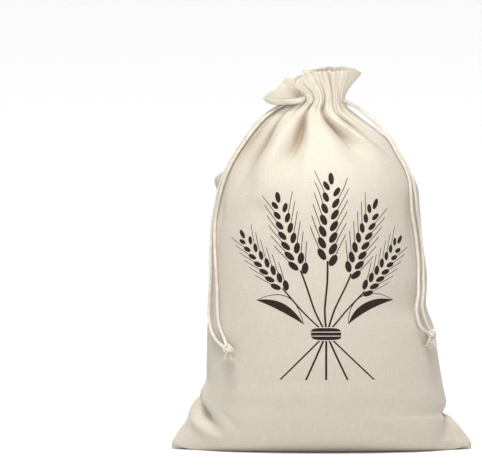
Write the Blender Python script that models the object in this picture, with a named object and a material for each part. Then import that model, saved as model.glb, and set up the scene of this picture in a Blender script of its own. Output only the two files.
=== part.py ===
"""Drawstring bread bag of two natural linen panels, standing full with its neck drawn shut.

The bag stands on Z = 0 and faces -Y. Angles run round it in degrees: 0 is the front, 90 the right side seam,
180 the back and 270 the left side seam. Sizes are in metres.
"""

import math
from collections import namedtuple

import bmesh
import bpy
import numpy as np
from mathutils import Euler, Vector
from mathutils.bvhtree import BVHTree

# Driving sizes
FLAT_WIDTH = 0.300  # a panel from side seam to side seam
CLOTH = 0.0014  # the linen, drawn a little thick
HEM_CLOTH = 0.0022  # the turned-down hem is two layers
CINCH = 0.348  # height of the drawn-in line, where the cords run
CORNER_RISE = 0.005  # the corner tips lift off the surface
SQUARENESS = 0.30  # the foot of the bag is squarer than an ellipse, up to SQUARE_TO
SQUARE_TO = 0.050
SEAM_GAP = 0.00020  # half the gap between the two panels' edges
GAP = 0.0003  # between pieces that touch
CORD = 0.0032
STEP = 2.5 * CORD  # from point to point along a cord
SPAN = 0.0030  # where a cord lies this far off the cloth it spans freely, and nearer than half of it, it rests
COLUMNS = 48  # of one panel's mesh

# How the full bag swells: half widths left and right, half depths front and back, and how far the flat corners
# of the bag reach past its belly
Section = namedtuple("Section", "height left right front back ear_left ear_right")
SECTIONS = [
    Section(0.000, 0.1180, 0.1200, 0.037, 0.040, 0.0320, 0.0300),
    Section(0.006, 0.1190, 0.1220, 0.048, 0.051, 0.0305, 0.0275),
    Section(0.016, 0.1195, 0.1235, 0.057, 0.060, 0.0245, 0.0195),
    Section(0.032, 0.1185, 0.1240, 0.065, 0.067, 0.0150, 0.0055),
    Section(0.037, 0.1180, 0.1222, 0.067, 0.069, 0.0142, 0.0000),
    Section(0.048, 0.1170, 0.1242, 0.070, 0.072, 0.0108, 0.0000),
    Section(0.053, 0.1163, 0.1236, 0.072, 0.074, 0.0062, 0.0000),
    Section(0.060, 0.1158, 0.1220, 0.074, 0.076, 0.0040, 0.0000),
    Section(0.070, 0.1150, 0.1200, 0.076, 0.078, 0.0000, 0.0000),
    Section(0.092, 0.1145, 0.1165, 0.080, 0.082, 0.0000, 0.0000),
    Section(0.122, 0.1140, 0.1120, 0.083, 0.086, 0.0000, 0.0000),
    Section(0.147, 0.1110, 0.1040, 0.085, 0.088, 0.0000, 0.0000),
    Section(0.170, 0.1105, 0.1050, 0.086, 0.089, 0.0000, 0.0000),
    Section(0.209, 0.1095, 0.1005, 0.085, 0.088, 0.0000, 0.0000),
    Section(0.245, 0.1045, 0.0975, 0.082, 0.085, 0.0000, 0.0000),
    Section(0.260, 0.1015, 0.0963, 0.079, 0.082, 0.0000, 0.0000),
    Section(0.270, 0.0990, 0.0925, 0.076, 0.079, 0.0000, 0.0000),
    Section(0.280, 0.0955, 0.0875, 0.072, 0.075, 0.0000, 0.0000),
    Section(0.292, 0.0890, 0.0795, 0.065, 0.068, 0.0000, 0.0000),
    Section(0.305, 0.0795, 0.0705, 0.057, 0.059, 0.0000, 0.0000),
    Section(0.318, 0.0700, 0.0575, 0.048, 0.050, 0.0000, 0.0000),
    Section(0.332, 0.0560, 0.0390, 0.036, 0.038, 0.0000, 0.0000),
    Section(0.341, 0.0430, 0.0285, 0.027, 0.028, 0.0000, 0.0000),
    Section(0.348, 0.0310, 0.0235, 0.022, 0.022, 0.0000, 0.0000),
]

# Folds of the wall. Each runs down from its top to its low end, where it has faded, and is an inward trough of the
# given depth at its top and at its deepest, or an outward ridge where the depth is negative. Widths are half
# widths in degrees round the bag
Fold = namedtuple("Fold", "around_top top around_low low width_top width_low depth_top depth")
FRONT_FOLDS = [
    Fold(-82, CINCH, -80, 0.298, 5, 6, 0.0030, 0.0035),
    Fold(-66, CINCH, -70, 0.280, 5, 8, 0.0030, 0.0045),
    Fold(-48, CINCH, -53, 0.250, 5, 10, 0.0032, 0.0130),
    Fold(-29, CINCH, -31, 0.322, 5, 4, 0.0030, 0.0012),
    Fold(-10, CINCH, -28, 0.262, 6, 10, 0.0034, 0.0170),
    Fold(-2, CINCH, -1, 0.314, 4, 4, 0.0030, 0.0035),
    Fold(12, CINCH, 34, 0.280, 6, 10, 0.0034, 0.0135),
    Fold(36, CINCH, 60, 0.286, 6, 9, 0.0032, 0.0080),
    Fold(52, CINCH, 72, 0.290, 5, 6, 0.0030, 0.0040),
    Fold(68, CINCH, 78, 0.306, 5, 5, 0.0030, 0.0020),
    Fold(83, CINCH, 84, 0.302, 5, 6, 0.0030, 0.0030),
    Fold(-28, 0.338, -40, 0.226, 8, 12, 0.0000, -0.0065),
    Fold(-5, 0.328, -9, 0.256, 4, 8, 0.0000, -0.0035),
    Fold(5, CINCH, 8, 0.330, 4, 4, -0.0010, -0.0028),
    Fold(10, 0.328, 14, 0.250, 5, 14, 0.0000, -0.0035),
    Fold(-70, 0.264, -72, 0.172, 4, 5, 0.0000, 0.0028),
    Fold(62, 0.278, 66, 0.152, 5, 5, 0.0000, 0.0030),
    Fold(-37, 0.256, -30, 0.214, 6, 7, 0.0000, 0.0022),
    Fold(-92, 0.281, -92, 0.252, 9, 8, 0.0000, -0.0080),
    Fold(-88, 0.058, -58, 0.012, 4, 7, 0.0000, 0.0110),
    Fold(-84, 0.040, -54, 0.004, 4, 6, 0.0000, -0.0040),
    Fold(88, 0.046, 68, 0.006, 4, 6, 0.0000, 0.0070),
]
BACK_FOLDS = [
    Fold(99, CINCH, 99, 0.302, 5, 6, 0.0030, 0.0030),
    Fold(119, CINCH, 128, 0.270, 5, 9, 0.0032, 0.0095),
    Fold(141, CINCH, 147, 0.316, 5, 5, 0.0030, 0.0025),
    Fold(160, CINCH, 165, 0.268, 5, 10, 0.0032, 0.0130),
    Fold(182, CINCH, 184, 0.308, 5, 5, 0.0030, 0.0040),
    Fold(203, CINCH, 196, 0.272, 5, 9, 0.0032, 0.0120),
    Fold(225, CINCH, 217, 0.262, 5, 9, 0.0032, 0.0100),
    Fold(246, CINCH, 243, 0.310, 5, 5, 0.0030, 0.0030),
    Fold(263, CINCH, 262, 0.298, 5, 6, 0.0030, 0.0030),
    Fold(150, 0.330, 150, 0.244, 8, 10, 0.0000, -0.0042),
    Fold(210, 0.332, 207, 0.240, 8, 11, 0.0000, -0.0044),
    Fold(268, 0.058, 238, 0.014, 5, 8, 0.0000, 0.0060),
    Fold(92, 0.046, 116, 0.010, 5, 8, 0.0000, 0.0045),
]
SHARPNESS = 1.7  # of a fold's section: 2 is a soft bell and 1 a sharp crease

# The ruffle's rim: where on the cinch each place of it comes from, in degrees round the bag, and where it stands
Rim = namedtuple("Rim", "around x y z")
RIMS = [
    Rim(-90, -0.0585, 0.0000, 0.3515),
    Rim(-84, -0.0560, -0.0090, 0.3500),
    Rim(-76, -0.0490, -0.0170, 0.3495),
    Rim(-68, -0.0400, -0.0220, 0.3500),
    Rim(-60, -0.0310, -0.0255, 0.3505),
    Rim(-53, -0.0230, -0.0260, 0.3515),
    Rim(-47, -0.0170, -0.0210, 0.3540),
    Rim(-40, -0.0180, -0.0190, 0.3590),
    Rim(-33, -0.0250, -0.0220, 0.3625),
    Rim(-27, -0.0280, -0.0280, 0.3630),
    Rim(-15, -0.0250, -0.0310, 0.3680),
    Rim(-5, -0.0207, -0.0310, 0.3720),
    Rim(-1, -0.0175, -0.0260, 0.3750),
    Rim(3, -0.0195, -0.0200, 0.3790),
    Rim(9, -0.0125, -0.0220, 0.3785),
    Rim(14, -0.0070, -0.0270, 0.3775),
    Rim(20, -0.0030, -0.0225, 0.3780),
    Rim(27, 0.0020, -0.0280, 0.3770),
    Rim(33, 0.0060, -0.0230, 0.3785),
    Rim(40, 0.0110, -0.0280, 0.3770),
    Rim(46, 0.0140, -0.0240, 0.3785),
    Rim(54, 0.0200, -0.0270, 0.3780),
    Rim(64, 0.0280, -0.0220, 0.3790),
    Rim(74, 0.0350, -0.0140, 0.3785),
    Rim(83, 0.0385, -0.0060, 0.3770),
    Rim(90, 0.0390, 0.0000, 0.3765),
    Rim(98, 0.0380, 0.0070, 0.3780),
    Rim(108, 0.0330, 0.0140, 0.3810),
    Rim(118, 0.0270, 0.0170, 0.3820),
    Rim(128, 0.0210, 0.0250, 0.3835),
    Rim(140, 0.0140, 0.0200, 0.3825),
    Rim(150, 0.0080, 0.0270, 0.3835),
    Rim(161, 0.0030, 0.0200, 0.3820),
    Rim(172, -0.0020, 0.0270, 0.3815),
    Rim(182, -0.0060, 0.0210, 0.3805),
    Rim(192, -0.0110, 0.0270, 0.3800),
    Rim(203, -0.0160, 0.0200, 0.3760),
    Rim(214, -0.0240, 0.0260, 0.3735),
    Rim(224, -0.0300, 0.0200, 0.3710),
    Rim(234, -0.0360, 0.0220, 0.3715),
    Rim(244, -0.0400, 0.0150, 0.3660),
    Rim(252, -0.0450, 0.0130, 0.3610),
    Rim(262, -0.0550, 0.0070, 0.3560),
    Rim(270, -0.0585, 0.0000, 0.3515),
]
DROOP = 0.352  # where the rim is lower than this the ruffle sags onto the shoulder, and it is upright from
UPRIGHT = 0.364  # this height of the rim on
RISES = (0.005, 0.013)  # how far a sagging and an upright stretch first stand up from the cinch
LEANS = (0.003, 0.001)  # and how far they lean out over that
SAG = 0.011  # of a drooping stretch, below the straight way to its rim

FLOOR_STEPS = [0.0, 0.35, 0.70]  # shares of the way from the bottom seam to where the wall starts
WALL_HEIGHTS = [0.0, 0.004, 0.010, 0.019, 0.030, 0.042, 0.055, 0.072, 0.098, 0.128, 0.160, 0.195, 0.230, 0.250]
WALL_HEIGHTS += [0.261, 0.2705, 0.281, 0.292, 0.302, 0.3095, 0.316, 0.322, 0.328, 0.3335, 0.339, 0.3437, CINCH]
RUFFLE_STEPS = [0.12, 0.28, 0.46, 0.64, 0.82, 1.0]

# The drawstrings. Both ends of each cord leave the hem at a side seam and hang to one knot. Each point is an
# angle round the bag, a height, and how far the cord lies off the cloth there. The last one is where the cord
# runs into its knot from
Strand = namedtuple("Strand", "name side points")
STRANDS = [
    Strand("cord_left_front", "left", [
        (-84, 0.3385, 0.0007), (-82, 0.3345, 0.0010), (-79, 0.3280, 0.0008), (-76, 0.3140, 0.0006),
        (-73, 0.2980, 0.0006), (-71, 0.2830, 0.0006), (-72, 0.2700, 0.0008), (-75, 0.2520, 0.0005),
        (-77, 0.2300, 0.0004), (-74, 0.2040, 0.0004), (-69, 0.1780, 0.0004), (-66, 0.1520, 0.0004),
        (-63.5, 0.1320, 0.0004), (-59, 0.1180, 0.0005), (-54.5, 0.1095, 0.0018)]),
    Strand("cord_left_back", "left", [
        (-98, 0.3425, 0.0008), (-96, 0.3375, 0.0012), (-90, 0.3270, 0.0008), (-84, 0.3130, 0.0006),
        (-79, 0.2970, 0.0006), (-76, 0.2830, 0.0006), (-77, 0.2700, 0.0008), (-80, 0.2520, 0.0005),
        (-82, 0.2300, 0.0004), (-80.5, 0.2040, 0.0004), (-78.5, 0.1780, 0.0004), (-79, 0.1520, 0.0004),
        (-77, 0.1330, 0.0004), (-70, 0.1180, 0.0005), (-61.5, 0.1080, 0.0018)]),
    Strand("cord_right_front", "right", [
        (84, 0.3455, 0.0004), (84, 0.3420, 0.0050), (82, 0.3310, 0.0052), (79, 0.3180, 0.0032),
        (73, 0.3050, 0.0012), (69, 0.2920, 0.0006), (67, 0.2770, 0.0005), (64, 0.2590, 0.0005),
        (65, 0.2380, 0.0004), (67, 0.2150, 0.0004), (66, 0.1900, 0.0004), (62.5, 0.1670, 0.0010),
        (59, 0.1480, 0.0034), (57, 0.1340, 0.0024), (57.5, 0.1240, 0.0020), (60.5, 0.1190, 0.0020)]),
    Strand("cord_right_back", "right", [
        (98, 0.3450, 0.0004), (97, 0.3410, 0.0050), (92, 0.3310, 0.0052), (86, 0.3180, 0.0032),
        (79, 0.3050, 0.0012), (74.5, 0.2920, 0.0006), (72, 0.2770, 0.0005), (69, 0.2590, 0.0005),
        (70.5, 0.2380, 0.0004), (73, 0.2150, 0.0004), (72, 0.1900, 0.0004), (68.5, 0.1670, 0.0010),
        (65, 0.1490, 0.0038), (63, 0.1360, 0.0026), (64.5, 0.1260, 0.0022)]),
]
Knot = namedtuple("Knot", "side around height width tall turn hang tail")
KNOTS = [
    Knot("left", -51.0, 0.1028, 0.0145, 0.0135, 35, (-0.35, -0.20, -1.0), 0.0110),
    Knot("right", 67.0, 0.1162, 0.0125, 0.0120, -30, (-0.28, -0.55, -1.0), 0.0125),
]
FRAY_STRANDS = 16
FRAY_THICK = 0.0011
FRAY_ROOT = 0.0022  # radius of the lump that the threads grow from

LINEN = (0.855, 0.820, 0.750, 1.0)
COTTON = (0.900, 0.870, 0.800, 1.0)


def smooth_step(x):
    x = min(max(x, 0.0), 1.0)
    return x * x * (3.0 - 2.0 * x)


def through(keys, values, at):
    """A smooth curve through the values at the keys, which doesn't overshoot them."""
    i = min(max(int(np.searchsorted(keys, at)) - 1, 0), len(keys) - 2)
    slopes = [(values[k + 1] - values[k]) / (keys[k + 1] - keys[k]) for k in range(len(keys) - 1)]

    def tangent(k):
        if k == 0 or k == len(keys) - 1:
            return slopes[min(k, len(slopes) - 1)]
        before, after = slopes[k - 1], slopes[k]
        return 0.0 if before * after <= 0.0 else 2.0 * before * after / (before + after)

    step = keys[i + 1] - keys[i]
    t = min(max((at - keys[i]) / step, 0.0), 1.0)
    rise = values[i + 1] - values[i]
    start, end = tangent(i) * step, tangent(i + 1) * step
    return values[i] + t * (start + t * (3 * rise - 2 * start - end + t * (start + end - 2 * rise)))


def swell(column, height):
    return through([s.height for s in SECTIONS], [getattr(s, column) for s in SECTIONS], height)


def seam_share(around):
    """0 at the middle of a panel and 1 at its side seams."""
    return abs(((around + 90.0) % 180.0) - 90.0) / 90.0


def apart(around, other):
    """Degrees from one angle to another, the short way round."""
    return (around - other + 180.0) % 360.0 - 180.0


def fold_depth(around, height):
    """How far the folds draw the cloth in at one place of the wall."""
    total = 0.0
    for fold in FRONT_FOLDS + BACK_FOLDS:
        t = (fold.top - height) / (fold.top - fold.low)
        if not -0.001 <= t < 1.0:
            continue
        middle = fold.around_top + t * (fold.around_low - fold.around_top)
        width = fold.width_top + t * (fold.width_low - fold.width_top)
        deepest = 0.35
        if t < deepest:
            depth = fold.depth_top + (fold.depth - fold.depth_top) * smooth_step(t / deepest)
        else:
            depth = fold.depth * (1.0 - smooth_step((t - deepest) / (1.0 - deepest)))
        total += depth * math.exp(-(abs(apart(around, middle) / width) ** SHARPNESS))
    return total


def ring_point(around, height):
    """A place on the wall's section at one height, before folds, and the way out from it."""
    turn = math.radians(around)
    left, right = swell("left", height), swell("right", height)
    middle, wide = (right - left) / 2.0, (right + left) / 2.0
    deep = swell("front" if math.cos(turn) > 0 else "back", height)
    ear = swell("ear_right" if math.sin(turn) > 0 else "ear_left", height)
    corner = smooth_step((seam_share(around) - 0.66) / 0.34)
    pinch = 1.0 - 0.82 * corner * min(ear / 0.022, 1.0)
    x = middle + wide * math.sin(turn) + math.copysign(ear * corner, math.sin(turn))
    square = SQUARENESS * (1.0 - smooth_step(height / SQUARE_TO))
    y = -deep * math.copysign(abs(math.cos(turn)) ** (1.0 - square), math.cos(turn)) * pinch
    out = Vector((math.sin(turn) * deep, -math.cos(turn) * wide, 0.0)).normalized()
    return Vector((x, y, height)), out


def flatness(around, height):
    """1 in the bag's corners, where the two panels lie flat together, and 0 where they stand apart."""
    ear = swell("ear_right" if math.sin(math.radians(around)) > 0 else "ear_left", height)
    return min(ear / 0.006, 1.0)


def facing(panel):
    return -1.0 if panel == "front" else 1.0


def wall_point(panel, around, height):
    """The middle of the cloth on the wall. The corner tips start a little above the floor, and the panels never
    cross the seams' plane: where they lie flat together they keep half a thickness from it."""
    lift = CORNER_RISE * corner_share(around)
    rise = CLOTH / 2.0 + lift * (1.0 - height / CINCH)
    height = rise + height * (CINCH - rise) / CINCH
    point, out = ring_point(around, height)
    point -= out * fold_depth(around, height)
    clear = SEAM_GAP + CLOTH / 2.0 * math.sqrt(flatness(around, height))
    point.y = facing(panel) * (max(facing(panel) * point.y, 0.0) + clear)
    return point


def corner_share(around):
    """Rises from 0 to 1 over the last fifth of a panel beside its side seams."""
    return smooth_step((seam_share(around) - 0.80) / 0.20)


def floor_point(panel, around, share):
    """The cloth under the bag, from the bottom seam (share 0) to where the wall starts (share 1)."""
    wall = wall_point(panel, around, 0.0)
    side = math.copysign(1.0, math.sin(math.radians(around)))
    seam_x = side * FLAT_WIDTH / 2.0 * seam_share(around)
    seam_y = facing(panel) * (SEAM_GAP + CLOTH / 2.0 * corner_share(around))
    x = seam_x + (wall.x - seam_x) * share
    y = seam_y + (wall.y - seam_y) * share
    return Vector((x, y, CLOTH / 2.0 + (wall.z - CLOTH / 2.0) * share))


def rim_point(panel, around):
    keys = [rim.around for rim in RIMS]
    wrapped = (around + 90.0) % 360.0 - 90.0 if panel == "front" else around
    point = Vector([through(keys, [getattr(rim, axis) for rim in RIMS], wrapped) for axis in ("x", "y", "z")])
    point.y += facing(panel) * SEAM_GAP
    return point


def ruffle_point(panel, around, share):
    """The hem above the cinch, in a curve from the cinch to its rim."""
    base = wall_point(panel, around, CINCH)
    _, out = ring_point(around, CINCH)
    rim = rim_point(panel, around)
    upright = smooth_step((rim.z - DROOP) / (UPRIGHT - DROOP))
    up = Vector((0.0, 0.0, 1.0))
    # an upright stretch stands up from the cinch; a drooping one sags before it curls up to the rim
    rise = RISES[0] + (RISES[1] - RISES[0]) * upright
    lean = LEANS[0] + (LEANS[1] - LEANS[0]) * upright
    first = base + up * rise + out * lean
    second = rim - (rim - base) * 0.30 - up * SAG * (1.0 - upright)
    t = share
    return base * (1 - t) ** 3 + first * (3 * t * (1 - t) ** 2) + second * (3 * t * t * (1 - t)) + rim * t ** 3


def panel_grid(panel):
    """Rows of points up the middle of one panel's cloth, the way out at each, and the thickness of each row."""
    start = -90.0 if panel == "front" else 90.0
    arounds = [start + 180.0 * i / COLUMNS for i in range(COLUMNS + 1)]
    rows = [[floor_point(panel, around, share) for around in arounds] for share in FLOOR_STEPS]
    rows += [[wall_point(panel, around, height) for around in arounds] for height in WALL_HEIGHTS]
    rows += [[ruffle_point(panel, around, share) for around in arounds] for share in RUFFLE_STEPS]
    hem_rows = len(RUFFLE_STEPS) + 1
    thickness = [CLOTH] * (len(rows) - hem_rows) + [HEM_CLOTH] * hem_rows
    normals = row_normals(rows)
    # at the seams the two panels' edges face each other squarely, or lie side by side in the corners
    normals[0, :, 1] *= [corner_share(around) for around in arounds]
    for i in range(len(FLOOR_STEPS), len(rows)):
        level = i - len(FLOOR_STEPS)
        height = WALL_HEIGHTS[level] if level < len(WALL_HEIGHTS) else CINCH
        for j in (0, COLUMNS):
            normals[i, j, 1] *= flatness(arounds[j], height)
    normals /= np.linalg.norm(normals, axis=2, keepdims=True)
    return rows, normals, thickness


def row_normals(rows):
    points = np.array([[list(p) for p in row] for row in rows])
    normals = np.cross(np.gradient(points, axis=1), np.gradient(points, axis=0))
    return normals / np.linalg.norm(normals, axis=2, keepdims=True)


def sheet_mesh(name, rows, normals, thickness):
    """A closed sheet: the rows of points moved half a thickness out and in, joined round the edge."""
    points = np.array([[list(p) for p in row] for row in rows])
    half = np.array(thickness)[:, None, None] / 2.0
    mesh = bmesh.new()
    outer = [[mesh.verts.new(p) for p in row] for row in points + normals * half]
    inner = [[mesh.verts.new(p) for p in row] for row in points - normals * half]
    last_row, last_column = len(rows) - 1, len(rows[0]) - 1
    for i in range(last_row):
        for j in range(last_column):
            mesh.faces.new((outer[i][j], outer[i][j + 1], outer[i + 1][j + 1], outer[i + 1][j]))
            mesh.faces.new((inner[i][j], inner[i + 1][j], inner[i + 1][j + 1], inner[i][j + 1]))
    border = [(0, j) for j in range(last_column)] + [(i, last_column) for i in range(last_row)]
    border += [(last_row, j) for j in range(last_column, 0, -1)] + [(i, 0) for i in range(last_row, 0, -1)]
    for (i, j), (k, l) in zip(border, border[1:] + border[:1]):
        mesh.faces.new((outer[i][j], inner[i][j], inner[k][l], outer[k][l]))
    return finished(name, mesh)


def finished(name, mesh):
    data = bpy.data.meshes.new(name)
    mesh.to_mesh(data)
    mesh.free()
    data.shade_smooth()
    made = bpy.data.objects.new(name, data)
    bpy.context.collection.objects.link(made)
    return made


def cloth_tree(panels):
    """The faces of both panels, to find the nearest place on the cloth."""
    points = []
    faces = []
    for panel in panels:
        faces += [[len(points) + k for k in face.vertices] for face in panel.data.polygons]
        points += [vert.co for vert in panel.data.vertices]
    return BVHTree.FromPolygons(points, faces)


def cloth_surface(around, height):
    """The cloth's outer face at one place of the wall, and the way out from it."""
    panel = "front" if abs(apart(around, 0.0)) < 90.0 else "back"
    here = wall_point(panel, around, height)
    beside = wall_point(panel, around + 0.8, height) - wall_point(panel, around - 0.8, height)
    above = wall_point(panel, around, min(height + 0.002, CINCH)) - wall_point(panel, around, height - 0.002)
    out = beside.cross(above).normalized()
    return here + out * CLOTH / 2.0, out


def strand_route(strand, knot, middle, cloth):
    """The middle of a cord up to its knot, in fine steps. It follows the cloth where it rests on it, and elsewhere
    runs in a smooth curve between its route points."""
    places = []
    for around, height, lift in strand.points:
        surface, out = cloth_surface(around, height)
        places.append(surface + out * (CORD / 2.0 + lift))
    way = (places[-1] - middle).normalized()
    ending = middle + way * (reach(knot_points(knot), way, CORD / 2.0 + GAP) + GAP)
    places[-1] = ending + way * STEP
    fine = []
    for place, (_, _, lift) in zip(smooth_steps(places), smooth_steps(map(Vector, strand.points))):
        surface = cloth.find_nearest(place)[0]
        laid = surface + (place - surface).normalized() * (CORD / 2.0 + lift)
        fine.append(place.lerp(laid, smooth_step((SPAN - lift) / (SPAN / 2.0))))
    return fine[:-1] + [places[-1], ending]


def smooth_steps(route):
    """Fine steps of a smooth curve through the route's own points."""
    route = list(route)
    ends = [route[0] * 2 - route[1]] + route + [route[-1] * 2 - route[-2]]
    fine = []
    for a, b, c, d in zip(ends, ends[1:], ends[2:], ends[3:]):
        for i in range(24):
            t = i / 24.0
            fine.append(0.5 * (2 * b + (c - a) * t + (2 * a - 5 * b + 4 * c - d) * t * t
                               + (3 * b - a - 3 * c + d) * t * t * t))
    return fine + [route[-1]]


def spaced(fine):
    """Points one step of the cord apart along the fine steps."""
    lengths = np.cumsum([0.0] + [(b - a).length for a, b in zip(fine, fine[1:])])
    count = round(lengths[-1] / STEP)
    places = np.linspace(0.0, lengths[-1], count + 1)
    columns = [np.interp(places, lengths, [p[axis] for p in fine]) for axis in range(3)]
    return [Vector(p) for p in zip(*columns)]


def cord_strand(strand, knot, middle, cloth):
    route = spaced(strand_route(strand, knot, middle, cloth))
    curve = bpy.data.curves.new(strand.name, "CURVE")
    curve.dimensions = "3D"
    curve.bevel_depth = CORD / 2.0
    curve.bevel_resolution = 2
    curve.use_fill_caps = True
    spline = curve.splines.new("POLY")
    spline.points.add(len(route) - 1)
    for point, place in zip(spline.points, route):
        point.co = (*place, 1.0)
    made = bpy.data.objects.new(strand.name, curve)
    bpy.context.collection.objects.link(made)
    return made


def knot_ball(knot):
    """An overhand knot about its own middle: a squat ball that the cord's wraps wind round."""
    mesh = bmesh.new()
    bmesh.ops.create_uvsphere(mesh, u_segments=20, v_segments=12, radius=0.5)
    turned = Euler((math.radians(12), math.radians(knot.turn), math.radians(knot.around))).to_matrix()
    for vert in mesh.verts:
        across = math.atan2(vert.co.y, vert.co.x)
        up = math.asin(max(-1.0, min(1.0, vert.co.z * 2.0)))
        place = vert.co * (0.90 + 0.11 * math.cos(2.0 * across + 3.4 * up) * math.cos(up))
        vert.co = turned @ Vector((place.x * knot.width, place.y * knot.width * 0.9, place.z * knot.tall))
    return mesh


def knot_points(knot):
    mesh = knot_ball(knot)
    points = [vert.co.copy() for vert in mesh.verts]
    mesh.free()
    return points


def reach(points, way, radius):
    """How far the points within a radius of a line from the middle stand out along it."""
    along = [point.dot(way) for point in points]
    return max(far for point, far in zip(points, along) if (point - way * far).length < radius)


def knot_middle(knot, cloth):
    """The knot is drawn in from clear of the cloth until it rests against it."""
    surface, out = cloth_surface(knot.around, knot.height)
    middle = surface + out * knot.width
    for _ in range(3):
        gap = min(cloth.find_nearest(middle + point)[3] for point in knot_points(knot))
        middle -= out * (gap - GAP)
    return middle


def knot_lump(knot, middle):
    mesh = knot_ball(knot)
    bmesh.ops.translate(mesh, verts=mesh.verts, vec=middle)
    return finished(f"knot_{knot.side}", mesh)


def fray(knot, middle):
    """The cord's cut ends below the knot: loose threads fused in a small root."""
    down = Vector(knot.hang).normalized()
    _, out = cloth_surface(knot.around, knot.height)
    top = middle + down * (reach(knot_points(knot), down, FRAY_ROOT) + GAP + FRAY_ROOT)
    side = down.cross(out).normalized()
    mesh = bmesh.new()
    bmesh.ops.create_uvsphere(mesh, u_segments=10, v_segments=6, radius=FRAY_ROOT)
    bmesh.ops.translate(mesh, verts=mesh.verts, vec=top)
    root = finished(f"fray_{knot.side}", mesh)
    for i in range(FRAY_STRANDS):
        turn = i * 2.4
        spread = 0.42 * math.sqrt((i + 0.5) / FRAY_STRANDS)
        aside = side * math.cos(turn) * spread + out * (0.28 + math.sin(turn) * spread * 0.6)
        length = knot.tail * (0.72 + 0.28 * math.cos(1.7 * i))
        start = top + aside * 0.0026
        end = top + (down + aside * 1.5).normalized() * length
        thread = thread_prism(f"thread_{knot.side}_{i}", start, start.lerp(end, 0.5) + out * 0.0004, end)
        join(root, thread)
    return root


def thread_prism(name, *places):
    """A three-sided thread through a few places, drawn to a blunt point."""
    mesh = bmesh.new()
    run = (places[-1] - places[0]).normalized()
    beside = run.cross(Vector((0.3, 0.9, 0.1))).normalized()
    rings = []
    for k, place in enumerate(places):
        thick = FRAY_THICK * (1.0 - 0.35 * k / (len(places) - 1)) / 2.0
        spokes = [beside, run.cross(beside) * 0.87 - beside * 0.5, -run.cross(beside) * 0.87 - beside * 0.5]
        rings.append([mesh.verts.new(place + spoke * thick) for spoke in spokes])
    for low, high in zip(rings, rings[1:]):
        for k in range(3):
            mesh.faces.new((low[k], low[(k + 1) % 3], high[(k + 1) % 3], high[k]))
    mesh.faces.new(rings[0][::-1])
    mesh.faces.new(rings[-1])
    bmesh.ops.recalc_face_normals(mesh, faces=mesh.faces)
    return finished(name, mesh)


def join(body, piece):
    union = body.modifiers.new(piece.name, "BOOLEAN")
    union.operation = "UNION"
    union.object = piece
    piece.hide_render = True
    piece.display_type = "WIRE"


def matte(name, colour, roughness):
    material = bpy.data.materials.new(name)
    material.use_nodes = True
    shader = material.node_tree.nodes["Principled BSDF"]
    shader.inputs["Base Color"].default_value = colour
    shader.inputs["Roughness"].default_value = roughness
    shader.inputs["Metallic"].default_value = 0.0
    return material


def main():
    for thing in list(bpy.data.objects):
        bpy.data.objects.remove(thing, do_unlink=True)
    linen = matte("linen", LINEN, 0.92)
    cotton = matte("cotton_cord", COTTON, 0.88)
    panels = [sheet_mesh(f"{panel}_panel", *panel_grid(panel)) for panel in ("front", "back")]
    for panel in panels:
        panel.data.materials.append(linen)
    cloth = cloth_tree(panels)
    for knot in KNOTS:
        middle = knot_middle(knot, cloth)
        knot_lump(knot, middle).data.materials.append(cotton)
        fray(knot, middle).data.materials.append(cotton)
        for strand in STRANDS:
            if strand.side == knot.side:
                cord_strand(strand, knot, middle, cloth).data.materials.append(cotton)


main()
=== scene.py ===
import math
from collections import namedtuple

import bmesh
import bpy
import numpy as np
from mathutils import Matrix, Quaternion, Vector
from mathutils.bvhtree import BVHTree


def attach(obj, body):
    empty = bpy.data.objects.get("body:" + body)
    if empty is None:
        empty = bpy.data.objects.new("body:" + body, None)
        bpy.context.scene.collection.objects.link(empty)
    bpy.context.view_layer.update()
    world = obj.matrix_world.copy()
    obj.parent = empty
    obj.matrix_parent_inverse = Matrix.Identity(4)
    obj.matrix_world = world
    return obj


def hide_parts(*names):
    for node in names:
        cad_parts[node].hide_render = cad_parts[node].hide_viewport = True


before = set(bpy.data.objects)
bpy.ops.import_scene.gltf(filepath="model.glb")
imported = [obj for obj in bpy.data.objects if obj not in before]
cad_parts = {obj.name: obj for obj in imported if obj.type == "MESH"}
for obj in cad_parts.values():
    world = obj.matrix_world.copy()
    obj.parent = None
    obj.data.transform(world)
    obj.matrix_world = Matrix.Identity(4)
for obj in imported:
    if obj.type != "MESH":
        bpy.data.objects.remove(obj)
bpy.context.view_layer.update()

# Metres. The bag stands on Z = 0 and faces -Y. Angles run round it in degrees: 0 is the front, 90 the right
# side seam, 180 the back, 270 the left side seam.

picture = dict(
    width=0.482,            # what the frame spans at the bag
    middle=(-0.0806, 0.217),  # what the frame's middle looks at, across and up
    distance=3.75,
    elevation=1.75,
)


def smoothStep(x):
    x = np.clip(x, 0.0, 1.0)
    return x * x * (3.0 - 2.0 * x)


def degreesApart(a, b):
    return (a - b + 180.0) % 360.0 - 180.0


def throughPoints(keys, values, at):
    # a smooth curve through the values that doesn't overshoot them
    keys, values = np.asarray(keys, float), np.asarray(values, float)
    at = np.asarray(at, float)
    slopes = np.diff(values) / np.diff(keys)
    tangents = np.concatenate([slopes[:1], np.zeros(len(keys) - 2), slopes[-1:]])
    before, after = slopes[:-1], slopes[1:]
    same = before * after > 0.0
    tangents[1:-1][same] = (2.0 * before * after)[same] / (before + after)[same]
    i = np.clip(np.searchsorted(keys, at) - 1, 0, len(keys) - 2)
    step = keys[i + 1] - keys[i]
    t = np.clip((at - keys[i]) / step, 0.0, 1.0)
    rise = values[i + 1] - values[i]
    start, end = tangents[i] * step, tangents[i + 1] * step
    return values[i] + t * (start + t * (3 * rise - 2 * start - end + t * (start + end - 2 * rise)))


# node helpers

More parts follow.
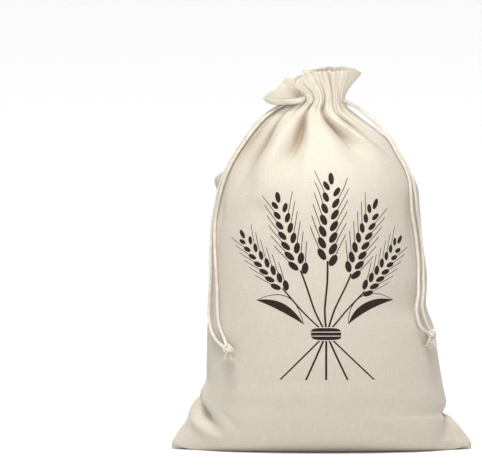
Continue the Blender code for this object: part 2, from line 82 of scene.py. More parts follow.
def put(tree, kind, inputs=None, **settings):
    node = tree.nodes.new(kind)
    for name, value in settings.items():
        setattr(node, name, value)
    for name, value in (inputs or {}).items():
        if isinstance(value, bpy.types.NodeSocket):
            tree.links.new(value, node.inputs[name])
        else:
            node.inputs[name].default_value = value
    return node


def sums(tree, operation, *values):
    return put(tree, "ShaderNodeMath", dict(enumerate(values)), operation=operation).outputs[0]


def newMaterial(name, roughness, sheen):
    material = bpy.data.materials.new(name)
    material.use_nodes = True
    tree = material.node_tree
    shader = tree.nodes["Principled BSDF"]
    shader.inputs["Roughness"].default_value = roughness
    shader.inputs["Specular IOR Level"].default_value = 0.25
    shader.inputs["Sheen Weight"].default_value = sheen
    shader.inputs["Sheen Roughness"].default_value = 0.6
    return material, tree, shader


def mixColours(tree, share, first, second, blend="MIX"):
    node = put(tree, "ShaderNodeMix", {0: share}, data_type="RGBA", blend_type=blend)
    for slot, value in ((6, first), (7, second)):
        if isinstance(value, bpy.types.NodeSocket):
            tree.links.new(value, node.inputs[slot])
        else:
            node.inputs[slot].default_value = value
    return node.outputs[2]


def ramp(tree, value, low, high, toLow=0.0, toHigh=1.0):
    return put(tree, "ShaderNodeMapRange", {"Value": value, "From Min": low, "From Max": high,
                                            "To Min": toLow, "To Max": toHigh}).outputs[0]


# the print: a sheaf of wheat, drawn in the cloth's own flat measure

sheafPrint = dict(
    ink=(0.0190, 0.0085, 0.0045, 1.0),
    tie=(0.003, 0.172),
    ears=((-39, 0.056, 0.90), (-18, 0.064, 1.0), (3, 0.070, 1.08), (22, 0.062, 0.98), (41, 0.054, 0.88)),
    earLength=0.0728,        # seven grain steps
    grainStep=0.0104,
    grainOut=0.0046,
    grainSize=(0.0029, 0.0057),
    grainTilt=27.0,
    stemHalf=0.0008,
    stemBelow=0.046,
    awnSlope=2.3,
    awnHalf=0.0009,
    awnReach=(0.0062, 0.0150),
    leaves=((-62, 0.020, 0.050, 0.0078, 0.010), (64, 0.022, 0.053, 0.0080, -0.011)),
    line=0.0009,
    band=(0.0125, 0.0060),
)


def wheatEar():
    s = sheafPrint
    tree = bpy.data.node_groups.new("wheatEar", "ShaderNodeTree")
    tree.interface.new_socket("place", in_out="INPUT", socket_type="NodeSocketVector")
    tree.interface.new_socket("ink", in_out="OUTPUT", socket_type="NodeSocketFloat")
    source = tree.nodes.new("NodeGroupInput").outputs[0]
    apart = put(tree, "ShaderNodeSeparateXYZ", {0: source})
    across, along = apart.outputs[0], apart.outputs[1]
    away = sums(tree, "ABSOLUTE", across)
    side = sums(tree, "SIGN", across)
    shifted = sums(tree, "MULTIPLY_ADD", side, s["grainStep"] / 4.0, along)
    # one grain in each step, leaning outwards
    cell = sums(tree, "SUBTRACT", sums(tree, "FLOORED_MODULO", shifted, s["grainStep"]), s["grainStep"] / 2.0)
    fromGrain = sums(tree, "SUBTRACT", away, s["grainOut"])
    tilt = math.radians(s["grainTilt"])
    leaning = sums(tree, "MULTIPLY", cell, math.cos(tilt))
    lengthwise = sums(tree, "MULTIPLY_ADD", fromGrain, math.sin(tilt), leaning)
    leaningAcross = sums(tree, "MULTIPLY", cell, -math.sin(tilt))
    sideways = sums(tree, "MULTIPLY_ADD", fromGrain, math.cos(tilt), leaningAcross)
    wide, tall = s["grainSize"]
    p = sums(tree, "POWER", sums(tree, "DIVIDE", sideways, wide), 2.0)
    q = sums(tree, "POWER", sums(tree, "DIVIDE", lengthwise, tall), 2.0)
    rounded = sums(tree, "ADD", p, q)
    inEar = sums(tree, "MULTIPLY", sums(tree, "GREATER_THAN", shifted, 0.0),
                 sums(tree, "LESS_THAN", shifted, s["earLength"]))
    tapered = ramp(tree, along, 0.0, s["earLength"], 1.05, 0.62)
    grains = sums(tree, "MULTIPLY", sums(tree, "LESS_THAN", rounded, tapered), inEar)
    # the grain at the tip
    above = sums(tree, "SUBTRACT", along, s["earLength"] + tall * 0.75)
    p = sums(tree, "POWER", sums(tree, "DIVIDE", across, wide * 0.85), 2.0)
    q = sums(tree, "POWER", sums(tree, "DIVIDE", above, tall), 2.0)
    tip = sums(tree, "LESS_THAN", sums(tree, "ADD", p, q), 1.0)
    # bristles
    slanted = sums(tree, "MULTIPLY_ADD", away, -s["awnSlope"], shifted)
    inStep = sums(tree, "FLOORED_MODULO", slanted, s["grainStep"])
    strand = sums(tree, "SUBTRACT", inStep, s["grainStep"] / 2.0)
    thin = sums(tree, "LESS_THAN", sums(tree, "ABSOLUTE", strand), s["awnHalf"])
    near, far = s["awnReach"]
    pastNear = sums(tree, "GREATER_THAN", away, near)
    reached = sums(tree, "MULTIPLY", pastNear, sums(tree, "LESS_THAN", away, far))
    fromEar = sums(tree, "MULTIPLY", sums(tree, "GREATER_THAN", slanted, -s["grainStep"]),
                   sums(tree, "LESS_THAN", slanted, s["earLength"] - s["grainStep"] * 2.2))
    awns = sums(tree, "MULTIPLY", sums(tree, "MULTIPLY", thin, reached), fromEar)
    # the stem runs on below the ear, through the tie
    inStem = sums(tree, "LESS_THAN", away, s["stemHalf"])
    stem = sums(tree, "MULTIPLY", inStem, sums(tree, "LESS_THAN", along, 0.002))
    inked = sums(tree, "MAXIMUM", sums(tree, "MAXIMUM", grains, tip), sums(tree, "MAXIMUM", awns, stem))
    target = tree.nodes.new("NodeGroupOutput")
    tree.links.new(inked, target.inputs[0])
    return tree


def placed(tree, vector, place, turn, size=1.0):
    # the vector as seen from a place, turned and scaled
    moved = put(tree, "ShaderNodeVectorMath", {0: vector, 1: (place[0], place[1], 0.0)}, operation="SUBTRACT")
    turned = put(tree, "ShaderNodeVectorRotate", {"Vector": moved.outputs[0], "Angle": math.radians(turn)},
                 rotation_type="Z_AXIS")
    scaled = put(tree, "ShaderNodeVectorMath", {0: turned.outputs[0], "Scale": 1.0 / size}, operation="SCALE")
    return scaled.outputs[0]


def leafBlade(tree, vector, turn, start, length, wide, bend):
    s = sheafPrint
    seen = put(tree, "ShaderNodeSeparateXYZ", {0: placed(tree, vector, s["tie"], turn)})
    middle = start + length / 2.0
    share = sums(tree, "DIVIDE", sums(tree, "SUBTRACT", seen.outputs[1], middle), length / 2.0)
    bow = sums(tree, "SUBTRACT", 1.0, sums(tree, "POWER", sums(tree, "ABSOLUTE", share), 2.0))
    bent = sums(tree, "SUBTRACT", seen.outputs[0], sums(tree, "MULTIPLY", bow, bend))
    edge = sums(tree, "MULTIPLY", bow, wide)
    away = sums(tree, "ABSOLUTE", bent)
    inside = sums(tree, "MULTIPLY", sums(tree, "LESS_THAN", away, edge), sums(tree, "GREATER_THAN", bow, 0.0))
    outline = sums(tree, "GREATER_THAN", away, sums(tree, "SUBTRACT", edge, s["line"]))
    filled = sums(tree, "LESS_THAN", sums(tree, "MULTIPLY", bent, math.copysign(1.0, bend)), 0.0)
    return sums(tree, "MULTIPLY", inside, sums(tree, "MAXIMUM", outline, filled))


def sheafOfWheat(tree, vector):
    # 1 where there is ink
    s = sheafPrint
    ear = wheatEar()
    inked = 0.0
    for turn, start, size in s["ears"]:
        node = put(tree, "ShaderNodeGroup", node_tree=ear)
        lifted = placed(tree, vector, s["tie"], turn)
        lowered = put(tree, "ShaderNodeVectorMath", {0: lifted, 1: (0.0, start, 0.0)}, operation="SUBTRACT")
        lifted = lowered.outputs[0]
        sized = put(tree, "ShaderNodeVectorMath", {0: lifted, "Scale": 1.0 / size}, operation="SCALE")
        scaled = sized.outputs[0]
        tree.links.new(scaled, node.inputs[0])
        inked = sums(tree, "MAXIMUM", inked, node.outputs[0])
    apart = put(tree, "ShaderNodeSeparateXYZ", {0: placed(tree, vector, s["tie"], 0.0)})
    below = sums(tree, "GREATER_THAN", apart.outputs[1], -s["stemBelow"])
    inked = sums(tree, "MULTIPLY", inked, below)
    for leaf in s["leaves"]:
        inked = sums(tree, "MAXIMUM", inked, leafBlade(tree, vector, *leaf))
    # the band round the stems, with two light lines
    wide, tall = s["band"]
    p = sums(tree, "POWER", sums(tree, "DIVIDE", sums(tree, "ABSOLUTE", apart.outputs[0]), wide), 4.0)
    q = sums(tree, "POWER", sums(tree, "DIVIDE", sums(tree, "ABSOLUTE", apart.outputs[1]), tall), 4.0)
    band = sums(tree, "LESS_THAN", sums(tree, "ADD", p, q), 1.0)
    clear = sums(tree, "LESS_THAN", sums(tree, "ADD", p, q), 1.7)
    stripe = sums(tree, "ABSOLUTE", sums(tree, "SUBTRACT", sums(tree, "ABSOLUTE", apart.outputs[1]), tall * 0.33))
    solid = sums(tree, "MULTIPLY", band, sums(tree, "GREATER_THAN", stripe, s["line"] * 0.45))
    inked = sums(tree, "MULTIPLY", inked, sums(tree, "SUBTRACT", 1.0, clear))
    return sums(tree, "MAXIMUM", inked, solid)


# finishes

linenLook = dict(
    colour=(0.660, 0.605, 0.510, 1.0),
    slub=(0.570, 0.505, 0.410, 1.0),
    pale=(0.730, 0.685, 0.600, 1.0),
    # painted fold shade: the colour the cloth takes deep in its folds and shaded patches
    paintedFoldShade=(0.330, 0.245, 0.140, 1.0),
    thread=0.00062,       # from thread to thread
    weaveHeight=0.00010,
    roughness=0.93,
    sheen=0.04,
)


def linenCloth(name, printed):
    look = linenLook
    material, tree, shader = newMaterial(name, look["roughness"], look["sheen"])
    flat = put(tree, "ShaderNodeUVMap", uv_map="flatCloth").outputs[0]
    # long thin slubs in the warp and the weft, and a slow mottle
    slubs = []
    for stretch, detail in (((1500.0, 70.0, 1.0), 0), ((80.0, 1400.0, 1.0), 1)):
        stretched = put(tree, "ShaderNodeVectorMath", {0: flat, 1: stretch}, operation="MULTIPLY").outputs[0]
        moved = put(tree, "ShaderNodeVectorMath", {0: stretched, 1: (7.3 * detail, 3.1, 0.0)}, operation="ADD")
        slubs.append(put(tree, "ShaderNodeTexNoise", {"Vector": moved.outputs[0], "Scale": 1.0, "Detail": 3.0,
                                                      "Roughness": 0.6}).outputs[0])
    grain = sums(tree, "MULTIPLY_ADD", sums(tree, "ADD", slubs[0], slubs[1]), 0.5, 0.0)
    mottle = put(tree, "ShaderNodeTexNoise", {"Vector": flat, "Scale": 38.0, "Detail": 4.0}).outputs[0]
    colour = mixColours(tree, ramp(tree, grain, 0.36, 0.64), look["slub"], look["pale"])
    colour = mixColours(tree, 0.55, look["colour"], colour)
    colour = mixColours(tree, ramp(tree, mottle, 0.3, 0.7, 0.0, 0.10), colour, look["slub"])
    # painted shade: the cloth's colour goes warmer and darker deep in its folds, by the foldShade attribute
    deep = put(tree, "ShaderNodeAttribute", attribute_name="foldShade").outputs["Fac"]
    colour = mixColours(tree, deep, colour, look["paintedFoldShade"])
    # plain weave: each thread passes over and under its neighbours
    threads = put(tree, "ShaderNodeVectorMath", {0: flat, 1: (math.pi / look["thread"],) * 2 + (1.0,)},
                  operation="MULTIPLY")
    apart = put(tree, "ShaderNodeSeparateXYZ", {0: threads.outputs[0]})
    warp = sums(tree, "SINE", apart.outputs[0])
    weft = sums(tree, "SINE", apart.outputs[1])
    over = sums(tree, "MULTIPLY_ADD", sums(tree, "MULTIPLY", warp, weft), 0.5, 0.5)
    uneven = sums(tree, "MULTIPLY_ADD", grain, 1.6, over)
    bump = put(tree, "ShaderNodeBump", {"Strength": 0.8, "Distance": look["weaveHeight"], "Height": uneven})
    tree.links.new(bump.outputs[0], shader.inputs["Normal"])
    if printed:
        # the ink sits on the threads and misses some of the hollows between them
        inked = sheafOfWheat(tree, flat)
        worn = ramp(tree, over, 0.02, 0.16, 0.80, 1.0)
        colour = mixColours(tree, sums(tree, "MULTIPLY", inked, worn), colour, sheafPrint["ink"])
    tree.links.new(colour, shader.inputs["Base Color"])
    return material


cottonLook = dict(
    colour=(0.820, 0.775, 0.690, 1.0),
    dark=(0.640, 0.575, 0.475, 1.0),
    roughness=0.90,
    sheen=0.15,
)


def cottonYarn(name):
    look = cottonLook
    material, tree, shader = newMaterial(name, look["roughness"], look["sheen"])
    place = put(tree, "ShaderNodeTexCoord").outputs["Object"]
    fibres = put(tree, "ShaderNodeTexNoise", {"Vector": place, "Scale": 1500.0, "Detail": 4.0, "Roughness": 0.7})
    soft = put(tree, "ShaderNodeTexNoise", {"Vector": place, "Scale": 160.0, "Detail": 2.0})
    shade = sums(tree, "MULTIPLY_ADD", fibres.outputs[0], 0.6, sums(tree, "MULTIPLY", soft.outputs[0], 0.4))
    colour = mixColours(tree, ramp(tree, shade, 0.36, 0.62), look["dark"], look["colour"])
    tree.links.new(colour, shader.inputs["Base Color"])
    bump = put(tree, "ShaderNodeBump", {"Strength": 0.7, "Distance": 0.00015, "Height": fibres.outputs[0]})
    tree.links.new(bump.outputs[0], shader.inputs["Normal"])
    return material


# the bag's cloth

cloth = dict(
    flatWidth=0.300,
    thick=0.0010,
    hemThick=0.0017,
    solidThick=0.0014,      # of the solid that the sheet stands for
    seamGap=0.00002,
    seamDepth=0.0011,
    seamWidth=1.6,          # degrees
    cinch=0.348,
    cornerRise=0.005,
    squareness=0.30,
    squareTo=0.050,
    columns=190,
    wallRows=178,
)

# half widths left and right, half depths front and back, and how far the flat corners reach past the belly
Section = namedtuple("Section", "height left right front back earLeft earRight")
sections = [
    Section(0.000, 0.1180, 0.1200, 0.037, 0.040, 0.0320, 0.0300),
    Section(0.006, 0.1190, 0.1220, 0.048, 0.051, 0.0305, 0.0275),
    Section(0.016, 0.1195, 0.1235, 0.057, 0.060, 0.0245, 0.0195),
    Section(0.032, 0.1185, 0.1240, 0.065, 0.067, 0.0150, 0.0055),
    Section(0.037, 0.1180, 0.1222, 0.067, 0.069, 0.0142, 0.0000),
    Section(0.048, 0.1170, 0.1242, 0.070, 0.072, 0.0108, 0.0000),
    Section(0.053, 0.1163, 0.1236, 0.072, 0.074, 0.0062, 0.0000),
    Section(0.060, 0.1158, 0.1220, 0.074, 0.076, 0.0040, 0.0000),
    Section(0.070, 0.1150, 0.1200, 0.076, 0.078, 0.0000, 0.0000),
    Section(0.092, 0.1145, 0.1165, 0.080, 0.082, 0.0000, 0.0000),
    Section(0.122, 0.1140, 0.1120, 0.083, 0.086, 0.0000, 0.0000),
    Section(0.147, 0.1110, 0.1040, 0.085, 0.088, 0.0000, 0.0000),
    Section(0.170, 0.1105, 0.1050, 0.086, 0.089, 0.0000, 0.0000),
    Section(0.209, 0.1095, 0.1005, 0.085, 0.088, 0.0000, 0.0000),
    Section(0.245, 0.1045, 0.0975, 0.082, 0.085, 0.0000, 0.0000),
    Section(0.260, 0.1015, 0.0963, 0.079, 0.082, 0.0000, 0.0000),
    Section(0.270, 0.0990, 0.0925, 0.076, 0.079, 0.0000, 0.0000),
    Section(0.280, 0.0955, 0.0875, 0.072, 0.075, 0.0000, 0.0000),
    Section(0.292, 0.0890, 0.0795, 0.065, 0.068, 0.0000, 0.0000),
    Section(0.305, 0.0795, 0.0705, 0.057, 0.059, 0.0000, 0.0000),
    Section(0.318, 0.0700, 0.0575, 0.048, 0.050, 0.0000, 0.0000),
    Section(0.332, 0.0560, 0.0390, 0.036, 0.038, 0.0000, 0.0000),
    Section(0.341, 0.0430, 0.0285, 0.027, 0.028, 0.0000, 0.0000),
    Section(0.348, 0.0310, 0.0235, 0.022, 0.022, 0.0000, 0.0000),
]

# an inward trough, or an outward ridge where the depth is negative, from its top down to where it has faded
Fold = namedtuple("Fold", "aroundTop top aroundLow low widthTop widthLow depthTop depth")
cinch = cloth["cinch"]
folds = [
    Fold(-82, cinch, -80, 0.298, 5, 6, 0.0030, 0.0035),
    Fold(-66, cinch, -70, 0.280, 5, 8, 0.0030, 0.0045),
    Fold(-48, cinch, -58, 0.240, 5, 13, 0.0032, 0.0150),
    Fold(-29, cinch, -31, 0.322, 5, 4, 0.0030, 0.0012),
    Fold(-10, cinch, -28, 0.262, 5, 9, 0.0034, 0.0200),
    Fold(-2, cinch, -1, 0.314, 4, 4, 0.0030, 0.0035),
    Fold(12, cinch, 34, 0.280, 5, 8, 0.0034, 0.0180),
    Fold(34, cinch, 62, 0.290, 5, 8, 0.0032, 0.0115),
    Fold(52, cinch, 72, 0.290, 5, 6, 0.0030, 0.0040),
    Fold(68, cinch, 78, 0.306, 5, 5, 0.0030, 0.0020),
    Fold(83, cinch, 84, 0.302, 5, 6, 0.0030, 0.0030),
    Fold(-28, 0.338, -40, 0.226, 8, 12, 0.0000, -0.0065),
    Fold(-5, 0.328, -9, 0.256, 4, 8, 0.0000, -0.0035),
    Fold(5, cinch, 8, 0.330, 4, 4, -0.0010, -0.0028),
    Fold(10, 0.328, 14, 0.250, 5, 14, 0.0000, -0.0035),
    Fold(16, 0.340, 58, 0.284, 6, 8, 0.0000, -0.0068),
    Fold(-70, 0.264, -72, 0.172, 4, 5, 0.0000, 0.0028),
    Fold(62, 0.278, 66, 0.152, 5, 5, 0.0000, 0.0030),
    Fold(-37, 0.256, -30, 0.214, 6, 7, 0.0000, 0.0022),
    Fold(-92, 0.281, -92, 0.252, 9, 8, 0.0000, -0.0080),
    Fold(-88, 0.058, -58, 0.012, 4, 7, 0.0000, 0.0110),
    Fold(-84, 0.040, -54, 0.004, 4, 6, 0.0000, -0.0040),
    Fold(88, 0.046, 68, 0.006, 4, 6, 0.0000, 0.0070),
    Fold(99, cinch, 99, 0.302, 5, 6, 0.0030, 0.0030),
    Fold(119, cinch, 128, 0.270, 5, 9, 0.0032, 0.0095),
    Fold(141, cinch, 147, 0.316, 5, 5, 0.0030, 0.0025),
    Fold(160, cinch, 165, 0.268, 5, 10, 0.0032, 0.0130),
    Fold(182, cinch, 184, 0.308, 5, 5, 0.0030, 0.0040),
    Fold(203, cinch, 196, 0.272, 5, 9, 0.0032, 0.0120),
    Fold(225, cinch, 217, 0.262, 5, 9, 0.0032, 0.0100),
    Fold(246, cinch, 243, 0.310, 5, 5, 0.0030, 0.0030),
    Fold(263, cinch, 262, 0.298, 5, 6, 0.0030, 0.0030),
    Fold(150, 0.330, 150, 0.244, 8, 10, 0.0000, -0.0042),
    Fold(210, 0.332, 207, 0.240, 8, 11, 0.0000, -0.0044),
    Fold(268, 0.058, 238, 0.014, 5, 8, 0.0000, 0.0060),
    Fold(92, 0.046, 116, 0.010, 5, 8, 0.0000, 0.0045),
]
foldSharpness = 1.7         # of a fold's section: 2 is a soft bell and 1 a sharp crease

# finer creases than the solid's, each placed and sized on its own
creases = [
    Fold(-75, 0.344, -79, 0.292, 3, 4, 0.0010, 0.0018),
    Fold(-55, 0.345, -59, 0.300, 3, 4, 0.0012, 0.0016),
    Fold(-32, 0.344, -34, 0.312, 3, 4, 0.0012, 0.0014),
    Fold(-11, 0.343, -11, 0.316, 3, 3, 0.0012, 0.0012),
    Fold(12, 0.344, 15, 0.306, 3, 4, 0.0010, 0.0016),
    Fold(33, 0.344, 38, 0.306, 3, 4, 0.0012, 0.0016),
    Fold(55, 0.344, 61, 0.298, 3, 4, 0.0012, 0.0016),
    Fold(74, 0.344, 75, 0.304, 3, 4, 0.0010, 0.0014),
    Fold(-14, 0.300, -12, 0.262, 4, 6, 0.0000, 0.0012),
    Fold(40, 0.296, 48, 0.258, 4, 5, 0.0000, -0.0010),
    Fold(-52, 0.276, -50, 0.236, 4, 6, 0.0000, -0.0010),
    Fold(-79, 0.150, -74, 0.096, 4, 6, 0.0000, 0.0012),
    Fold(74, 0.160, 78, 0.104, 4, 6, 0.0000, 0.0012),
    Fold(-84, 0.072, -70, 0.034, 3, 5, 0.0000, -0.0022),
    Fold(-82, 0.036, -64, 0.010, 3, 5, 0.0000, -0.0020),
    Fold(84, 0.060, 72, 0.020, 3, 5, 0.0000, -0.0014),
    Fold(130, 0.344, 134, 0.300, 3, 4, 0.0010, 0.0016),
    Fold(151, 0.344, 153, 0.308, 3, 4, 0.0010, 0.0014),
    Fold(171, 0.344, 172, 0.310, 3, 4, 0.0010, 0.0014),
    Fold(193, 0.344, 190, 0.306, 3, 4, 0.0012, 0.0016),
    Fold(214, 0.344, 210, 0.302, 3, 4, 0.0010, 0.0016),
    Fold(236, 0.344, 232, 0.300, 3, 4, 0.0010, 0.0016),
    Fold(255, 0.344, 252, 0.308, 3, 4, 0.0010, 0.0014),
    Fold(82, 0.034, 75, 0.002, 1.6, 2.0, 0.0000, 0.0024),
    Fold(-85, 0.028, -79, 0.002, 1.6, 2.0, 0.0000, 0.0022),
    Fold(-62, 0.046, -40, 0.016, 3, 5, 0.0000, 0.0018),
    Fold(-30, 0.020, -8, 0.004, 4, 6, 0.0000, 0.0010),
    Fold(30, 0.030, 52, 0.004, 4, 6, 0.0000, 0.0012),
]

# the ruffle's rim: around, where it comes from on the cinch, and its place in space
Rim = namedtuple("Rim", "around x y z")
rims = [
    Rim(-90, -0.0585, 0.0000, 0.3515),
    Rim(-84, -0.0560, -0.0090, 0.3500),
    Rim(-76, -0.0490, -0.0170, 0.3495),
    Rim(-68, -0.0400, -0.0220, 0.3500),
    Rim(-60, -0.0310, -0.0255, 0.3505),
    Rim(-53, -0.0230, -0.0260, 0.3515),
    Rim(-47, -0.0170, -0.0210, 0.3540),
    Rim(-40, -0.0180, -0.0190, 0.3590),
    Rim(-33, -0.0250, -0.0220, 0.3625),
    Rim(-27, -0.0280, -0.0280, 0.3630),
    Rim(-15, -0.0250, -0.0310, 0.3680),
    Rim(-5, -0.0207, -0.0310, 0.3720),
    Rim(-1, -0.0175, -0.0260, 0.3750),
    Rim(3, -0.0195, -0.0200, 0.3790),
    Rim(9, -0.0125, -0.0220, 0.3785),
    Rim(14, -0.0070, -0.0270, 0.3775),
    Rim(20, -0.0030, -0.0225, 0.3780),
    Rim(27, 0.0020, -0.0280, 0.3770),
    Rim(33, 0.0060, -0.0230, 0.3785),
    Rim(40, 0.0110, -0.0280, 0.3770),
    Rim(46, 0.0140, -0.0240, 0.3785),
    Rim(54, 0.0200, -0.0270, 0.3780),
    Rim(64, 0.0280, -0.0220, 0.3790),
    Rim(74, 0.0350, -0.0140, 0.3785),
    Rim(83, 0.0385, -0.0060, 0.3770),
    Rim(90, 0.0390, 0.0000, 0.3765),
    Rim(98, 0.0380, 0.0070, 0.3780),
    Rim(108, 0.0330, 0.0140, 0.3810),
    Rim(118, 0.0270, 0.0170, 0.3820),
    Rim(128, 0.0210, 0.0250, 0.3835),
    Rim(140, 0.0140, 0.0200, 0.3825),
    Rim(150, 0.0080, 0.0270, 0.3835),
    Rim(161, 0.0030, 0.0200, 0.3820),
    Rim(172, -0.0020, 0.0270, 0.3815),
    Rim(182, -0.0060, 0.0210, 0.3805),
    Rim(192, -0.0110, 0.0270, 0.3800),
    Rim(203, -0.0160, 0.0200, 0.3760),
    Rim(214, -0.0240, 0.0260, 0.3735),
    Rim(224, -0.0300, 0.0200, 0.3710),
    Rim(234, -0.0360, 0.0220, 0.3715),
    Rim(244, -0.0400, 0.0150, 0.3660),
    Rim(252, -0.0450, 0.0130, 0.3610),
    Rim(262, -0.0550, 0.0070, 0.3560),
    Rim(270, -0.0585, 0.0000, 0.3515),
]
# tight puckers where the hem is gathered on the cord: around, depth, half width
puckers = [
    (-88, 0.0014, 2.0), (-82, 0.0030, 2.8), (-74, 0.0018, 2.0), (-66, 0.0034, 2.8), (-57, 0.0020, 2.0),
    (-47, 0.0036, 2.8), (-38, 0.0022, 1.9), (-29, 0.0030, 2.4), (-20, 0.0020, 1.8), (-10, 0.0036, 2.8),
    (-3, 0.0018, 1.7), (3, 0.0028, 2.2), (10, 0.0020, 1.8), (16, 0.0038, 2.8), (25, 0.0022, 1.9),
    (34, 0.0034, 2.6), (42, 0.0022, 1.9), (50, 0.0032, 2.5), (58, 0.0020, 1.9), (66, 0.0032, 2.6),
    (75, 0.0020, 2.0), (83, 0.0030, 2.6), (91, 0.0016, 2.2), (99, 0.0030, 2.6), (109, 0.0020, 2.1),
    (119, 0.0034, 2.8), (130, 0.0022, 2.1), (141, 0.0030, 2.5), (151, 0.0020, 2.0), (160, 0.0036, 2.8),
    (171, 0.0022, 2.0), (182, 0.0030, 2.4), (192, 0.0020, 2.0), (203, 0.0036, 2.8), (214, 0.0022, 2.1),
    (225, 0.0034, 2.7), (236, 0.0020, 2.1), (246, 0.0030, 2.5), (255, 0.0018, 2.0), (263, 0.0028, 2.5),
]


def swell(column, height):
    return throughPoints([s.height for s in sections], [getattr(s, column) for s in sections], height)


def foldDepth(around, height, which):
    total = np.zeros(np.broadcast(around, height).shape)
    deepest = 0.35
    for fold in which:
        t = (fold.top - height) / (fold.top - fold.low)
        middle = fold.aroundTop + t * (fold.aroundLow - fold.aroundTop)
        width = np.maximum(fold.widthTop + t * (fold.widthLow - fold.widthTop), 1.0)
        rising = fold.depthTop + (fold.depth - fold.depthTop) * smoothStep(t / deepest)
        fading = fold.depth * (1.0 - smoothStep((t - deepest) / (1.0 - deepest)))
        depth = np.where(t < deepest, rising, fading)
        # a fold that starts below the cinch grows in from nothing
        grown = 1.0 if fold.top >= cinch else smoothStep((fold.top + 0.006 - height) / 0.006)
        inside = (t < 1.0) & ((t > -0.001) | (fold.top < cinch) & (height < fold.top + 0.006))
        aside = np.abs(degreesApart(around, middle) / width) ** foldSharpness
        total += np.where(inside, depth * grown * np.exp(-aside), 0.0)
    return total


def puckerDepth(around):
    return sum(depth * np.exp(-(degreesApart(around, at) / width) ** 2) for at, depth, width in puckers)


def seamShare(around):
    return np.abs((around + 90.0) % 180.0 - 90.0) / 90.0


def cornerShare(around):
    return smoothStep((seamShare(around) - 0.80) / 0.20)


def flatness(around, height):
    ear = np.where(np.sin(np.radians(around)) > 0, swell("earRight", height), swell("earLeft", height))
    return np.minimum(ear / 0.006, 1.0)


def ringPoint(around, height):
    turn = np.radians(around)
    sine, cosine = np.sin(turn), np.cos(turn)
    left, right = swell("left", height), swell("right", height)
    middle, wide = (right - left) / 2.0, (right + left) / 2.0
    deep = np.where(cosine > 0, swell("front", height), swell("back", height))
    ear = np.where(sine > 0, swell("earRight", height), swell("earLeft", height))
    corner = smoothStep((seamShare(around) - 0.66) / 0.34)
    pinch = 1.0 - 0.82 * corner * np.minimum(ear / 0.022, 1.0)
    square = cloth["squareness"] * (1.0 - smoothStep(height / cloth["squareTo"]))
    x = middle + wide * sine + np.copysign(ear * corner, sine)
    y = -deep * np.copysign(np.abs(cosine) ** (1.0 - square), cosine) * pinch
    out = np.stack([sine * deep, -cosine * wide, np.zeros_like(x)], -1)
    out /= np.linalg.norm(out, axis=-1, keepdims=True)
    return np.stack([x, y, height + 0.0 * x], -1), out


def wallPoint(facing, around, height, fine=True):
    around, height = np.broadcast_arrays(np.asarray(around, float), np.asarray(height, float))
    half = cloth["solidThick"] / 2.0
    rise = half + cloth["cornerRise"] * cornerShare(around) * (1.0 - height / cinch)
    height = rise + height * (cinch - rise) / cinch
    point, out = ringPoint(around, height)
    depth = foldDepth(around, height, folds)
    if fine:
        depth = depth + foldDepth(around, height, creases)
        depth = depth + puckerDepth(around) * smoothStep((height - 0.330) / (cinch - 0.330))
        # the sewn seams draw the cloth in a little
        beside = (1.0 - seamShare(around)) * 90.0 / cloth["seamWidth"]
        depth = depth + cloth["seamDepth"] * np.exp(-beside ** 2) * (1.0 - flatness(around, height))
    point = point - out * depth[..., None]
    clear = cloth["seamGap"] + half * np.sqrt(flatness(around, height))
    point[..., 1] = facing * (np.maximum(facing * point[..., 1], 0.0) + clear)
    return point


def floorPoint(facing, around, share):
    wall = wallPoint(facing, around, 0.0)
    side = np.sign(np.sin(np.radians(around)))
    half = cloth["solidThick"] / 2.0
    seam = np.zeros_like(wall)
    seam[..., 0] = side * cloth["flatWidth"] / 2.0 * seamShare(around)
    seam[..., 1] = facing * (cloth["seamGap"] + half * cornerShare(around))
    seam[..., 2] = half
    return seam + (wall - seam) * share


def rufflePoint(facing, around, share):
    base = wallPoint(facing, around, cinch)
    _, out = ringPoint(around, np.full_like(around, cinch))
    at = (around + 90.0) % 360.0 - 90.0 if facing < 0 else around
    rim = np.stack([throughPoints([r.around for r in rims], [getattr(r, axis) for r in rims], at)
                    for axis in ("x", "y", "z")], -1)
    rim[:, 1] += facing * cloth["seamGap"]
    # an upright stretch stands up from the cord; a drooping one sags before it curls up to the rim
    upright = smoothStep((rim[:, 2] - 0.352) / 0.012)[:, None]
    up = np.array([0.0, 0.0, 1.0])
    first = base + up * (0.005 + 0.008 * upright) + out * (0.003 - 0.002 * upright)
    second = rim - (rim - base) * 0.30 - up * 0.011 * (1.0 - upright)
    t = share
    return (base * (1 - t) ** 3 + first * 3 * t * (1 - t) ** 2 + second * 3 * t * t * (1 - t) + rim * t ** 3)


# painted shade where the shoulder lies in its own shade: around, height, their half widths, and how strongly
shaded = [
    (-72, 0.312, 15, 0.026, 0.46),
    (-80, 0.275, 9, 0.030, 0.30),
    (84, 0.330, 7, 0.016, 0.20),
]


def foldShade(around, height):
    # painted shade: 1 deep in the folds under the neck and 0 on open cloth
    depth = foldDepth(around, height, folds) + foldDepth(around, height, creases)
    deep = 0.72 * smoothStep((depth - 0.0035) / 0.0130) * smoothStep((height - 0.245) / 0.060)
    tight = 0.75 * smoothStep((puckerDepth(around) - 0.0012) / 0.0020) * smoothStep((height - 0.334) / 0.010)
    side = sum(strength * np.exp(-(degreesApart(around, at) / wide) ** 2 - ((height - level) / tall) ** 2)
               for at, level, wide, tall, strength in shaded)
    return np.maximum(np.maximum(deep, tight), side)


